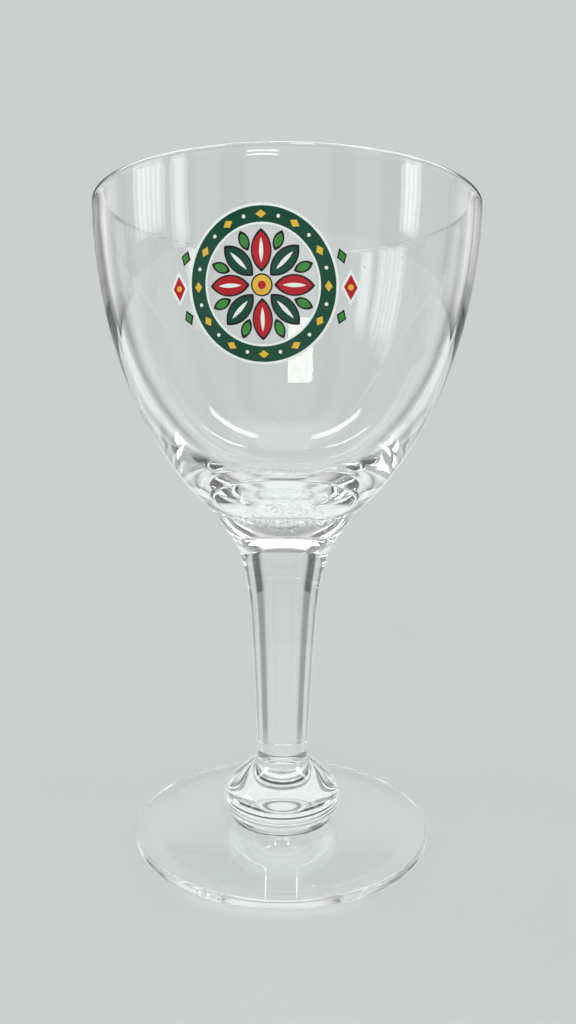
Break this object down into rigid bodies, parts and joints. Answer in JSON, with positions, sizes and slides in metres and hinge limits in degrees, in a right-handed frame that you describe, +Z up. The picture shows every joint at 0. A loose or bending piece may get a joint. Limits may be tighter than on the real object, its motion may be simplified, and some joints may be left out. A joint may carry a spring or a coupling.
{
  "type": "chalice beer glass",
  "caption": "Clear stemmed beer chalice with a deep rounded bowl, a flared stem, a flat foot with a domed boss and a fired folk-style enamel print.",
  "frame": {"origin": "centre of the resting face under the foot", "axes": "+Z up along the glass's axis, the print faces -Y, +X to the right as seen from the print's side"},
  "size_m": [0.0948, 0.0948, 0.16],
  "materials": {
    "bowl_glass": "clear, fire polished, with a faint green tint",
    "stem_glass": "clear, pressed and fire polished",
    "foot_glass": "clear, pressed and fire polished",
    "white_ink": "fired gloss enamel",
    "black_ink": "fired gloss enamel",
    "red_ink": "fired gloss enamel",
    "dark_green_ink": "fired gloss enamel",
    "leaf_green_ink": "fired gloss enamel",
    "gold_ink": "fired gloss enamel",
    "label_paper": "matt paper, torn along one side"
  },
  "bodies": {
    "root": {"bowl": "bowl_glass", "stem": "stem_glass", "foot": "foot_glass", "enamel_white": "white_ink", "enamel_black": "black_ink", "enamel_red": "red_ink", "enamel_dark_green": "dark_green_ink", "enamel_leaf_green": "leaf_green_ink", "enamel_gold": "gold_ink", "paper_label": "label_paper"}
  },
  "joints": []
}
